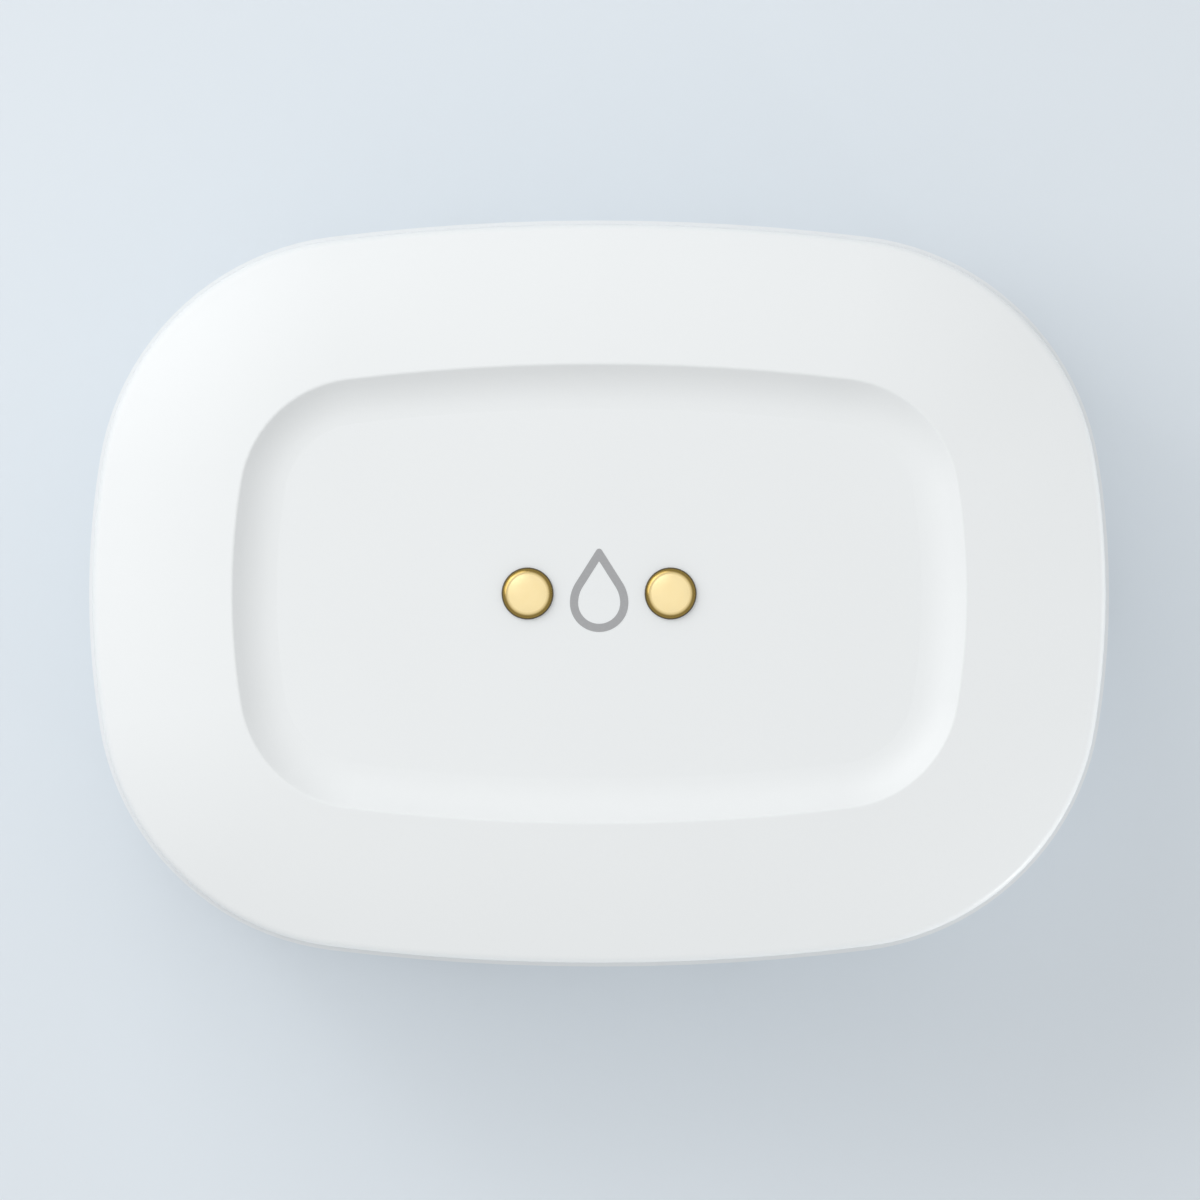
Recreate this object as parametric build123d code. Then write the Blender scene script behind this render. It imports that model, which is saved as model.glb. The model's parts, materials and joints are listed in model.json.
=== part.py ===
from build123d import *

import math
import os

# Lengths are millimetres and angles degrees. The origin is on the surface that the sensor stands
# on, under the middle of the body: X runs along the long side, Z points up.

# Body: its size over all, and the radii of the arcs that meet in tangency in its outline
body_length = 54.0
body_width = 39.5
body_height = 20.0
long_side_radius = 116.2
short_side_radius = 44.2
corner_radius = 14.15

# Clearances shared by many pieces
running_clearance = 0.08
fit_clearance = 0.1
loose_clearance = 0.3
overrun = 1.0

# Top cover, its rim and its dish
rim_width = 7.66
rim_inner_tilt = 8.0
rim_outer_tilt = 21.0
cover_edge_radius = 0.5
cover_draft = 1.0
crest_radius = 0.22
dish_wall_width = 2.35
dish_wall_tilt = 42.0
cover_wall = 1.8
seam_step = 0.2
tongue_depth = 1.2
contact_pad_width = 4.6
contact_pad_depth = 1.2
light_window = 0.7

# Base housing
base_draft = 4.0
base_edge_radius = 1.2
base_wall = 2.6
base_floor = 1.6
rim_wall = 1.1
foot_height = 0.8
foot_ring_width = 1.8
drain_notch_width = 3.4
drain_notch_spacing = 13.0
post_radius = 2.5
screw_post_radius = 3.1
rib_thickness = 1.0
housing_seal_height = 0.9

# Gold contacts in the dish
drip_contact_pitch = 7.54
drip_contact_diameter = 2.75
drip_contact_height = 0.5
drip_contact_crown = 0.16
drip_shank_diameter = 1.4
drip_tail_length = 0.45
drip_clip_diameter = 3.6
drip_clip_thickness = 0.3
drip_seal_cord = 0.75
drip_seal_recess = 0.8

# Gold contacts under the base
floor_contact_diameter = 4.0
floor_contact_height = 0.5
floor_contact_crown = 0.2
floor_shank_diameter = 2.6
floor_seal_cord = 0.5
floor_seal_recess = 0.6
floor_contact_switch_gap = 2.5

# Circuit board and what is soldered to it
board_headroom = 4.4
board_side_gap = 0.5
board_thickness = 1.2
board_screw_diameter = 1.5
board_screw_length = 3.5
board_screw_head_diameter = 2.8
board_screw_head_height = 1.0
radio_chip_size = 5.0
radio_chip_height = 0.85
radio_shield_width = 10.0
radio_shield_height = 2.2
radio_shield_sheet = 0.2
radio_spring_gap = 2.1
radio_end_gap = 7.3
antenna_length = 7.0
antenna_width = 2.0
antenna_height = 0.9
antenna_end_gap = 6.4
sense_chip_length = 4.9
sense_chip_width = 3.9
sense_chip_height = 1.5
capacitor_length = 3.5
capacitor_width = 2.8
capacitor_height = 1.9
small_parts_end_gap = 16.2
small_parts_screw_gap = 7.15
led_length = 1.6
led_width = 0.8
led_height = 0.6

# Light pipe over the status light
light_pipe_diameter = 2.0
light_pipe_flange_diameter = 3.0
light_pipe_flange_height = 0.6
light_pipe_gap = 0.4

# Battery cap and its well
cap_side_gap = 5.15
cap_thickness = 1.2
cap_edge_radius = 0.3
cap_flange_width = 1.4
cap_flange_gap = 0.15
cap_spigot_wall = 0.75
cap_spigot_gap = 0.2
cap_spigot_share = 0.33
cap_slot_length = 15.0
cap_slot_width = 2.0
cap_slot_depth = 0.7
cap_seal_cord = 0.7
cap_seal_gland_width = 1.05
cap_seal_gland_height = 0.8
well_wall = 1.2
well_drop = 2.35

# Coin cell: it takes the height and the width that the board and the cap leave
cell_gap = 0.3
cell_contact_gap = 1.95
cell_edge_radius = 0.5
cell_face_inset = 1.95
cell_face_step = 0.35

# Sheet metal springs
spring_sheet = 0.15
spring_width = 1.6
spring_foot = 2.6
spring_bend_radius = 0.12
battery_contact_sheet = 0.25
battery_contact_width = 4.0
battery_contact_bend_radius = 0.15
battery_contact_foot = 6.0

# Pairing button in the right-hand end, with its stem, ring seal and clip
button_length = 7.0
button_depth = 3.4
button_gap = 0.15
button_thickness = 1.2
button_travel = 0.4
button_stem_diameter = 2.6
button_boss_diameter = 4.6
button_boss_length = 1.6
button_groove_depth = 0.4
button_groove_width = 0.6
button_clip_diameter = 4.0
button_clip_thickness = 0.3
button_stem_reach = 0.6

# Tactile switch under the board
switch_length = 3.6
switch_width = 6.0
switch_height = 4.0
plunger_diameter = 1.4
plunger_reach = 1.0

# Screws that hold the base to the cover
housing_screw_side_gap = 7.0
housing_screw_diameter = 1.7
housing_screw_length = 8.0
housing_screw_head_diameter = 3.6
housing_screw_head_height = 1.3
housing_screw_seal_height = 0.6
housing_screw_seal_width = 0.7
screw_post_drop = 4.1
screw_shoulder_thickness = 1.6
cover_boss_radius = 2.2
pilot_spare_depth = 1.0
screw_drive_width = 1.6
screw_drive_depth = 0.6

# Heights that follow: down from the cover, and up from the foot ring
dish_wall_radius = dish_wall_width / math.sin(math.radians(dish_wall_tilt))
dish_depth = dish_wall_radius * (1 - math.cos(math.radians(dish_wall_tilt)))
dish_floor_height = body_height - dish_depth
cover_ceiling = dish_floor_height - cover_wall
pad_bottom = cover_ceiling - contact_pad_depth
drip_tail_bottom = pad_bottom - drip_clip_thickness - drip_tail_length
board_top = cover_ceiling - board_headroom
board_bottom = board_top - board_thickness
ledge_height = board_bottom + fit_clearance * 2
tongue_bottom = ledge_height + housing_seal_height
parting_height = tongue_bottom + tongue_depth
button_height = board_bottom - button_boss_diameter / 2 - fit_clearance
screw_post_top = board_bottom - screw_post_drop
screw_shoulder_height = screw_post_top - screw_shoulder_thickness
base_floor_top = foot_height + base_floor
cap_inner_face = foot_height + cap_thickness
cell_bottom = cap_inner_face + fit_clearance / 2
cell_top = board_bottom - cell_contact_gap
spigot_top = cell_bottom + cap_spigot_share * (cell_top - cell_bottom)
neck_top = spigot_top + well_wall
sleeve_top = cell_top - well_drop

# Radii that follow, from the cap in to the cell and out to the well
half_length = body_length / 2
half_width = body_width / 2
cap_flange_radius = half_width - cap_side_gap
cap_spigot_radius = cap_flange_radius - cap_flange_width
cap_inner_radius = cap_spigot_radius - cap_spigot_wall
cell_radius = cap_inner_radius - cap_spigot_gap
well_radius = cell_radius + cell_gap
flange_room_radius = cap_flange_radius + cap_flange_gap
collar_radius = flange_room_radius + well_wall

# Distances inside the outline that follow
board_inset = base_wall + board_side_gap
cover_inner_inset = seam_step + cover_wall / math.cos(math.radians(cover_draft))
dish_floor_inset = rim_width + dish_wall_width
base_lean = math.radians(base_draft)
base_side_rise = parting_height - base_edge_radius * (1 - math.sin(base_lean))
base_foot_inset = base_edge_radius * math.cos(base_lean) + base_side_rise * math.tan(base_lean)
foot_inner_inset = base_foot_inset + foot_ring_width

# Places along X that follow, for the button, its stem and the switch
wall_inside = half_length - base_wall
side_at_button = half_length - (parting_height - button_height) * math.tan(base_lean)
button_back = side_at_button - button_thickness
boss_end = wall_inside - button_boss_length
groove_middle = wall_inside - button_boss_length / 2
stem_end = boss_end - button_stem_reach
plunger_tip = stem_end - fit_clearance / 2
switch_front = plunger_tip - plunger_reach

# Places that follow, for what stands or lies around the well
screw_head_room = housing_screw_head_diameter + 2 * fit_clearance
housing_screw_reach = collar_radius + screw_head_room / 2
housing_screw_y = half_width - housing_screw_side_gap
housing_screw_x = math.sqrt(housing_screw_reach**2 - housing_screw_y**2)
floor_contact_y = switch_width / 2 + floor_contact_switch_gap + post_radius
floor_contact_x = (math.sqrt(collar_radius**2 - floor_contact_y**2) + wall_inside) / 2
drip_contact_x = drip_contact_pitch / 2
radio_start = drip_contact_x + spring_width / 2 + radio_spring_gap
radio_shield_length = half_length - radio_end_gap - radio_start
radio_centre_x = radio_start + radio_shield_length / 2
small_parts_x = half_length - small_parts_end_gap
small_parts_y = housing_screw_y - small_parts_screw_gap


def corner_centre():
    """The centre of the corner arc in the first quadrant, where both side arcs are touched."""
    long_centre = Vector(0, half_width - long_side_radius)
    short_centre = Vector(half_length - short_side_radius, 0)
    reach_long = long_side_radius - corner_radius
    reach_short = short_side_radius - corner_radius
    between = short_centre - long_centre
    distance = between.length
    along = (distance**2 + reach_long**2 - reach_short**2) / (2 * distance)
    aside = math.sqrt(reach_long**2 - along**2)
    unit = between / distance
    return long_centre + unit * along + Vector(unit.Y, -unit.X) * aside


def touch_point(side_centre, side_radius):
    """Where a side arc of this radius about this centre meets the corner arc."""
    return side_centre + (corner_centre() - side_centre).normalized() * side_radius


def outline_edges(inset):
    """The outline moved inwards by inset, from the middle of the front side, anticlockwise."""
    long_centre = Vector(0, half_width - long_side_radius)
    short_centre = Vector(half_length - short_side_radius, 0)
    long_radius = long_side_radius - inset
    short_radius = short_side_radius - inset
    front = Vector(0, inset - half_width)
    right = Vector(half_length - inset, 0)
    near_long = touch_point(long_centre, long_radius)
    near_short = touch_point(short_centre, short_radius)
    corner = corner_centre()
    halfway = ((near_long - corner) + (near_short - corner)).normalized()
    corner_middle = corner + halfway * (corner_radius - inset)
    quarter = [
        (front, arc_middle(front, near_long, long_radius, 1, -1), flipped(near_long, 1, -1)),
        (flipped(near_long, 1, -1), flipped(corner_middle, 1, -1), flipped(near_short, 1, -1)),
        (flipped(near_short, 1, -1), arc_middle(right, near_short, short_radius, 1, -1), right),
    ]
    arcs = quarter + [turned_over(arc, 1, -1) for arc in reversed(quarter)]
    arcs += [turned_over(arc, -1, 1) for arc in reversed(arcs)]
    return [ThreePointArc(*arc) for arc in arcs]


def arc_middle(middle, end, radius, sign_x, sign_y):
    """The halfway point of a side arc that starts in the middle of its side."""
    start = Vector(abs(middle.X), abs(middle.Y))
    centre = Vector(start.X - radius, 0) if start.Y == 0 else Vector(0, start.Y - radius)
    halfway = ((start - centre) + (end - centre)).normalized()
    return flipped(centre + halfway * radius, sign_x, sign_y)


def flipped(point, sign_x, sign_y):
    """A point in another quadrant."""
    return Vector(point.X * sign_x, point.Y * sign_y)


def turned_over(arc, sign_x, sign_y):
    """An arc in another quadrant, run the other way."""
    return tuple(flipped(point, sign_x, sign_y) for point in reversed(arc))


def outline_wire(inset):
    """The closed outline, moved inwards."""
    return Wire(outline_edges(inset))


def plate(inset, bottom, top):
    """A plate of the body's outline, moved inwards."""
    face = make_face(outline_edges(inset))
    return extrude(Pos(0, 0, bottom) * face, amount=top - bottom)


def ring(outer_inset, inner_inset, bottom, top):
    """A band between two parallel outlines."""
    return plate(outer_inset, bottom, top) - plate(inner_inset, bottom, top)


def swept_skin(profile):
    """A profile of distance from the outline and height, carried once round the body."""
    section_plane = Plane(origin=(0, -half_width, 0), x_dir=(0, 1, 0), z_dir=(1, 0, 0))
    return sweep(section_plane * profile, path=outline_wire(0))


def rod(diameter, bottom, top, x=0, y=0):
    """A round upright bar."""
    return extrude(Pos(x, y, bottom) * Circle(diameter / 2), amount=top - bottom)


def tube(outer_radius, inner_radius, bottom, top, x=0, y=0):
    """A round upright tube."""
    face = Circle(outer_radius) - Circle(inner_radius)
    return extrude(Pos(x, y, bottom) * face, amount=top - bottom)


def block(length, width, bottom, top, x=0, y=0):
    """An upright rectangular block."""
    return extrude(Pos(x, y, bottom) * Rectangle(length, width), amount=top - bottom)


def seal_ring(inner_radius, cord, height, x=0, y=0):
    """A round-section ring that lies around an upright axis."""
    return Pos(x, y, height) * Torus(inner_radius + cord / 2, cord / 2)


def four_places(x, y):
    """One place in each quadrant."""
    return [(x * sign_x, y * sign_y) for sign_x in (-1, 1) for sign_y in (-1, 1)]


def rib_to_side(x, y, bottom, top):
    """A rib from a post, a boss or the well out into the long side's wall."""
    reach = half_width - base_wall
    middle = math.copysign((abs(y) + reach) / 2, y)
    return block(rib_thickness, reach - abs(y), bottom, top, x, middle)


def rib_to_end(x, y, bottom, top):
    """A rib from a post out into the end wall."""
    middle = math.copysign((abs(x) + wall_inside) / 2, x)
    return block(wall_inside - abs(x), rib_thickness, bottom, top, middle, y)


def housing_screw_places():
    """The screws stand beside the cap's flange, a set distance inside the long sides."""
    return four_places(housing_screw_x, housing_screw_y)


def floor_contact_places():
    """The floor contacts stand near the four corners."""
    return four_places(floor_contact_x, floor_contact_y)


def at_tilt(centre, radius, tilt):
    """A point of an arc in the profile, where the surface leans outwards by this tilt."""
    angle = math.radians(tilt)
    return (centre[0] - radius * math.sin(angle), centre[1] + radius * math.cos(angle))


def rim_arc_radius():
    """The radius that carries the rim from its crest to the edge arc above the drafted side."""
    inner = math.radians(rim_inner_tilt)
    outer = math.radians(rim_outer_tilt)
    draft = math.radians(cover_draft)
    rise = body_height - parting_height - cover_edge_radius * (math.cos(outer) - math.sin(draft))
    run = rim_width - seam_step + cover_edge_radius * (math.sin(outer) - math.cos(draft))
    per_radius = math.sin(outer) - math.sin(inner)
    per_radius -= math.tan(draft) * (math.cos(inner) - math.cos(outer))
    return (run - math.tan(draft) * rise) / per_radius


def cover_form(bottom, inner_end):
    """The cover's section as if solid, from the side wall in to the flat of the dish."""
    rim_radius = rim_arc_radius()
    crest = (rim_width, body_height)
    rim_centre = (
        crest[0] + rim_radius * math.sin(math.radians(rim_inner_tilt)),
        crest[1] - rim_radius * math.cos(math.radians(rim_inner_tilt)),
    )
    rim_middle = at_tilt(rim_centre, rim_radius, (rim_inner_tilt + rim_outer_tilt) / 2)
    rim_end = at_tilt(rim_centre, rim_radius, rim_outer_tilt)
    edge_centre = at_tilt(rim_centre, rim_radius - cover_edge_radius, rim_outer_tilt)
    side_tilt = 90 - cover_draft
    edge_middle = at_tilt(edge_centre, cover_edge_radius, (rim_outer_tilt + side_tilt) / 2)
    edge_end = at_tilt(edge_centre, cover_edge_radius, side_tilt)
    side_foot = (edge_end[0] - (edge_end[1] - bottom) * math.tan(math.radians(cover_draft)), bottom)
    dish_centre = (dish_floor_inset, dish_floor_height + dish_wall_radius)
    half_tilt = math.radians(dish_wall_tilt / 2)
    dish_middle = (
        dish_centre[0] - dish_wall_radius * math.sin(half_tilt),
        dish_centre[1] - dish_wall_radius * math.cos(half_tilt),
    )
    dish_end = (dish_floor_inset, dish_floor_height)
    skin = [
        Line(side_foot, edge_end),
        ThreePointArc(edge_end, edge_middle, rim_end),
        ThreePointArc(rim_end, rim_middle, crest),
        ThreePointArc(crest, dish_middle, dish_end),
        Polyline(dish_end, (inner_end, dish_floor_height), (inner_end, bottom), side_foot),
    ]
    face = make_face(skin)
    return fillet(face.vertices().sort_by(Axis.Y)[-1], crest_radius)


def cover_skin():
    """The cover's shell of one wall thickness, from its side wall in to the flat of the dish."""
    flat_inset = dish_floor_inset + overrun
    form = cover_form(parting_height, flat_inset)
    inner_form = offset(
        cover_form(parting_height - cover_wall - overrun, flat_inset + cover_wall + overrun),
        amount=-cover_wall,
        kind=Kind.INTERSECTION,
    )
    return swept_skin(form - inner_form) + plate(flat_inset, cover_ceiling, dish_floor_height)


def contact_pad():
    """The thick pad under the dish, with the bores of both contacts, their seals and the light."""
    pad = SlotCenterToCenter(drip_contact_pitch, contact_pad_width)
    return extrude(Pos(0, 0, pad_bottom) * pad, amount=contact_pad_depth)


def contact_pad_bores():
    """What is cut from the pad and the dish for the contacts, their ring seals and the light pipe."""
    bores = rod(
        light_pipe_diameter + fit_clearance,
        pad_bottom - overrun,
        dish_floor_height - light_window,
    )
    seal_room = drip_shank_diameter + 2 * (drip_seal_cord + fit_clearance)
    for x in (-drip_contact_x, drip_contact_x):
        bores += rod(drip_shank_diameter + fit_clearance, pad_bottom - overrun, body_height, x)
        bores += rod(seal_room, pad_bottom - overrun, pad_bottom + drip_seal_recess, x)
    return bores


def top_cover():
    """The dished shell: domed rim, sunk floor, locating tongue, screw bosses and contact pad."""
    shell = cover_skin()
    shell += ring(rim_wall + fit_clearance, cover_inner_inset, tongue_bottom, parting_height)
    shell += contact_pad()
    boss_root = dish_floor_height - cover_wall / 2
    for x, y in housing_screw_places():
        shell += rod(2 * cover_boss_radius, screw_post_top, boss_root, x, y)
        shell += rib_to_side(x, y, parting_height, boss_root)
    screw_tip = screw_shoulder_height - housing_screw_seal_height + housing_screw_length
    pilot = housing_screw_diameter + fit_clearance / 2
    for x, y in housing_screw_places():
        shell -= rod(pilot, screw_post_top - overrun, screw_tip + pilot_spare_depth, x, y)
    return shell - contact_pad_bores()


def below(centre, radius, turn):
    """A point of the base's lower edge, this turn in radians down from level."""
    return (centre[0] - radius * math.cos(turn), centre[1] - radius * math.sin(turn))


def base_section():
    """The base's side wall in section, with its foot ring and the ledge that carries the seal."""
    edge_centre = (base_foot_inset, base_edge_radius)
    edge_start = below(edge_centre, base_edge_radius, base_lean)
    edge_middle = below(edge_centre, base_edge_radius, (base_lean + math.pi / 2) / 2)
    edge_end = (base_foot_inset, 0)
    skin = [
        Line((0, parting_height), edge_start),
        ThreePointArc(edge_start, edge_middle, edge_end),
        Polyline(
            edge_end,
            (foot_inner_inset, 0),
            (foot_inner_inset, foot_height),
            (foot_inner_inset + overrun, foot_height),
            (foot_inner_inset + overrun, base_floor_top),
            (base_wall, base_floor_top),
            (base_wall, ledge_height),
            (rim_wall, ledge_height),
            (rim_wall, parting_height),
            (0, parting_height),
        ),
    ]
    return make_face(skin)


def base_skin():
    """The base's side wall and floor."""
    floor = plate(foot_inner_inset + overrun, foot_height, base_floor_top)
    return swept_skin(base_section()) + floor


def battery_well():
    """The stepped collar around the cap's flange, the cap's spigot and the cell."""
    collar = rod(2 * collar_radius, foot_height, cap_inner_face + cap_seal_gland_height + well_wall)
    neck = rod(2 * (cap_spigot_radius + well_wall), foot_height, neck_top)
    sleeve = rod(2 * (well_radius + well_wall), foot_height, sleeve_top)
    return collar + neck + sleeve


def battery_well_bores():
    """What is cut from the collar: room for the flange, the ring seal, the spigot and the cell."""
    flange_room = rod(2 * flange_room_radius, foot_height - overrun, cap_inner_face)
    gland_radius = cap_spigot_radius + cap_seal_gland_width
    gland = rod(2 * gland_radius, foot_height, cap_inner_face + cap_seal_gland_height)
    bore = rod(2 * (cap_spigot_radius + running_clearance), foot_height, spigot_top + fit_clearance)
    cell_room = rod(2 * well_radius, foot_height, cell_top)
    reach = well_radius + well_wall + overrun
    window_width = battery_contact_width + 2 * loose_clearance
    window = block(reach, window_width, neck_top, cell_top, -reach / 2)
    return flange_room + gland + bore + cell_room + window


def base_posts():
    """The posts that the screws go up through, and those that carry the board on its contacts."""
    posts = [
        rod(2 * screw_post_radius, foot_height, screw_post_top, x, y)
        for x, y in housing_screw_places()
    ]
    posts += [
        rod(2 * post_radius, foot_height, board_bottom, x, y)
        for x, y in floor_contact_places()
    ]
    return posts


def base_ribs():
    """The ribs that tie the posts and the well to the walls."""
    places = housing_screw_places() + [(0, well_radius), (0, -well_radius)]
    ribs = [rib_to_side(x, y, foot_height, screw_post_top) for x, y in places]
    ribs += [rib_to_end(x, y, foot_height, screw_post_top) for x, y in floor_contact_places()]
    return ribs


def base_post_bores():
    """What is cut from the posts: room for heads, shanks and ring seals."""
    bores = []
    for x, y in housing_screw_places():
        bores.append(rod(screw_head_room, -overrun, screw_shoulder_height, x, y))
        hole = housing_screw_diameter + loose_clearance
        bores.append(rod(hole, 0, screw_post_top + overrun, x, y))
    seal_room = floor_shank_diameter + 2 * (floor_seal_cord + fit_clearance)
    for x, y in floor_contact_places():
        bores.append(rod(floor_shank_diameter + fit_clearance, 0, board_bottom + overrun, x, y))
        bores.append(rod(seal_room, 0, foot_height + floor_seal_recess, x, y))
    return bores


def button_axis_plane():
    """A plane square to the button's travel, in the middle of the right-hand end."""
    return Plane(origin=(half_length, 0, button_height), x_dir=(0, 1, 0), z_dir=(1, 0, 0))


def button_bar(shape, start, end):
    """A bar of this shape on the button's axis, between two places along X."""
    return button_axis_plane() * extrude(Pos(0, 0, start - half_length) * shape, amount=end - start)


def button_bores():
    """What is cut from the end wall: the recess for the button's face and the bore of its stem."""
    recess_floor = button_back - button_travel - fit_clearance
    recess = SlotOverall(button_length + 2 * button_gap, button_depth + 2 * button_gap)
    bore = Circle(button_stem_diameter / 2 + running_clearance)
    cut = button_bar(recess, recess_floor, half_length + overrun)
    return cut + button_bar(bore, boss_end - overrun, half_length)


def drain_notches():
    """Gaps in the foot ring that let water in to the contacts."""
    notches = block(body_length, drain_notch_width, -overrun, foot_height)
    for x in (-drain_notch_spacing / 2, drain_notch_spacing / 2):
        notches += block(drain_notch_width, body_width, -overrun, foot_height, x)
    return notches & ring(0, foot_inner_inset + overrun, -overrun, foot_height)


def base_housing():
    """The lower shell: tapered side, foot ring, battery well, ribbed posts and the button's bore."""
    shell = base_skin() + battery_well() + base_posts() + base_ribs()
    shell += button_bar(Circle(button_boss_diameter / 2), boss_end, wall_inside + rim_wall)
    shell -= battery_well_bores()
    shell -= base_post_bores()
    shell -= button_bores()
    return shell - drain_notches()


def housing_seal():
    """The flat ring squeezed between the cover's tongue and the base's ledge."""
    return ring(rim_wall + fit_clearance, base_wall - fit_clearance, ledge_height, tongue_bottom)


def dome(diameter, height, crown):
    """A low dome with a rounded edge, standing on its seat at zero."""
    edge = height - crown
    flat = diameter / 2 - edge
    crown_radius = (flat**2 + crown**2) / (2 * crown)
    crown_sag = crown_radius - math.sqrt(crown_radius**2 - flat**2 / 4)
    half_edge = edge * math.sin(math.radians(45))
    section = [
        Line((0, 0), (diameter / 2, 0)),
        ThreePointArc((diameter / 2, 0), (flat + half_edge, half_edge), (flat, edge)),
        ThreePointArc((flat, edge), (flat / 2, height - crown_sag), (0, height)),
        Line((0, height), (0, 0)),
    ]
    return revolve(Plane.XZ * make_face(section), Axis.Z)


def drip_contact(x):
    """A gold dome in the dish, with the shank that carries it through the cover."""
    head = dome(drip_contact_diameter, drip_contact_height, drip_contact_crown)
    contact = Pos(x, 0, dish_floor_height) * head
    return contact + rod(drip_shank_diameter, drip_tail_bottom, dish_floor_height, x)


def drip_contact_seal(x):
    """The ring seal in its recess in the contact pad."""
    middle = pad_bottom + drip_seal_recess / 2
    return seal_ring((drip_shank_diameter + fit_clearance) / 2, drip_seal_cord, middle, x)


def drip_contact_clips():
    """Push-on clips that hold both contacts against the dish."""
    clips = []
    for x in (-drip_contact_x, drip_contact_x):
        inner = drip_shank_diameter / 2 + fit_clearance / 4
        clips.append(tube(drip_clip_diameter / 2, inner, pad_bottom - drip_clip_thickness, pad_bottom, x))
    return Compound(children=clips)


def spring_strip(points, bend_radius, sheet, width):
    """Sheet metal bent along a line in the XZ plane, centred on that plane."""
    path = FilletPolyline(*points, radius=bend_radius)
    start = Plane(origin=path @ 0, x_dir=(0, 1, 0), z_dir=path % 0)
    return sweep(start * Rectangle(width, sheet), path=path)


def drip_spring(x):
    """A leaf on the board that presses on the tail of a drip contact."""
    low = board_top + spring_sheet / 2
    high = drip_tail_bottom - spring_sheet / 2
    reach = spring_foot / 2
    leaf = spring_strip(
        [
            (-reach, 0, low),
            (spring_foot, 0, low),
            (reach / 2, 0, high),
            (-reach / 2, 0, high),
            (-reach, 0, (low + high) / 2),
        ],
        spring_bend_radius,
        spring_sheet,
        spring_width,
    )
    return Pos(x, 0, 0) * Rot(0, 0, 90) * leaf


def floor_contact(x, y):
    """A gold dome under the base on a shank that reaches the board and takes its screw."""
    head = dome(floor_contact_diameter, floor_contact_height, floor_contact_crown)
    contact = Pos(x, y, foot_height) * Rot(180, 0, 0) * head
    contact += rod(floor_shank_diameter, foot_height, board_bottom, x, y)
    thread = board_screw_diameter + fit_clearance / 2
    thread_bottom = board_bottom - board_screw_length - fit_clearance
    return contact - rod(thread, thread_bottom, board_bottom + overrun, x, y)


def floor_contact_seals():
    """The ring seals around the four shanks."""
    middle = foot_height + floor_seal_recess / 2
    inner = (floor_shank_diameter + fit_clearance) / 2
    rings = [
        seal_ring(inner, floor_seal_cord, middle, x, y)
        for x, y in floor_contact_places()
    ]
    return Compound(children=rings)


def screw(head_diameter, head_height, diameter, length, seat, side, x, y):
    """A pan-head screw: side is 1 where the head lies above its seat and -1 below."""
    head = rod(head_diameter, 0, head_height)
    head = fillet(head.edges().group_by(Axis.Z)[-1], head_height / 3)
    head -= rod(screw_drive_width, head_height - screw_drive_depth, head_height + overrun)
    body = head + rod(diameter, -length, 0)
    turn = Rot(0, 0, 0) if side > 0 else Rot(180, 0, 0)
    return Pos(x, y, seat) * turn * body


def board_screws():
    """The screws that clamp the board on the floor contacts."""
    screws = [
        screw(
            board_screw_head_diameter,
            board_screw_head_height,
            board_screw_diameter,
            board_thickness + board_screw_length,
            board_top,
            1,
            x,
            y,
        )
        for x, y in floor_contact_places()
    ]
    return Compound(children=screws)


def housing_screws():
    """The screws that pull the cover down on the base."""
    seat = screw_shoulder_height - housing_screw_seal_height
    screws = [
        screw(
            housing_screw_head_diameter,
            housing_screw_head_height,
            housing_screw_diameter,
            housing_screw_length,
            seat,
            -1,
            x,
            y,
        )
        for x, y in housing_screw_places()
    ]
    return Compound(children=screws)


def housing_screw_seals():
    """Flat ring seals under the housing screws' heads."""
    inner = (housing_screw_diameter + fit_clearance) / 2
    rings = [
        tube(
            inner + housing_screw_seal_width,
            inner,
            screw_shoulder_height - housing_screw_seal_height,
            screw_shoulder_height,
            x,
            y,
        )
        for x, y in housing_screw_places()
    ]
    return Compound(children=rings)


def circuit_board():
    """The board follows the body's outline, notched for the cover's bosses."""
    board = plate(board_inset, board_bottom, board_top)
    notch = 2 * (cover_boss_radius + loose_clearance)
    for x, y in housing_screw_places():
        board -= rod(notch, board_bottom - overrun, board_top + overrun, x, y)
        outward = y + math.copysign(notch, y)
        board -= block(notch, 2 * notch, board_bottom - overrun, board_top + overrun, x, outward)
    hole = board_screw_diameter + fit_clearance
    for x, y in floor_contact_places():
        board -= rod(hole, board_bottom - overrun, board_top + overrun, x, y)
    return board


def radio_shield():
    """A folded tin can over the radio chip, open below."""
    can = on_board(radio_shield_length, radio_shield_width, radio_shield_height, radio_centre_x)
    can = fillet(can.edges().filter_by(Axis.Z), 2 * radio_shield_sheet)
    inside = block(
        radio_shield_length - 2 * radio_shield_sheet,
        radio_shield_width - 2 * radio_shield_sheet,
        board_top - overrun,
        board_top + radio_shield_height - radio_shield_sheet,
        radio_centre_x,
    )
    return can - inside


def on_board(length, width, height, x=0, y=0):
    """A flat component on the board."""
    return block(length, width, board_top, board_top + height, x, y)


def light_pipe():
    """The clear rod that carries the status light to the thin window under the drop sign."""
    foot = board_top + led_height + light_pipe_gap
    pipe = rod(light_pipe_diameter, foot, dish_floor_height - light_window)
    return pipe + rod(light_pipe_flange_diameter, pad_bottom - light_pipe_flange_height, pad_bottom)


def battery_cell():
    """The coin cell: a can with rounded edges and a smaller face on top."""
    can = rod(2 * cell_radius, cell_bottom, cell_top - cell_face_step)
    can = fillet(can.edges().filter_by(GeomType.CIRCLE), cell_edge_radius)
    face_radius = cell_radius - cell_face_inset
    return can + rod(2 * face_radius, cell_top - cell_face_step, cell_top)


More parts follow.
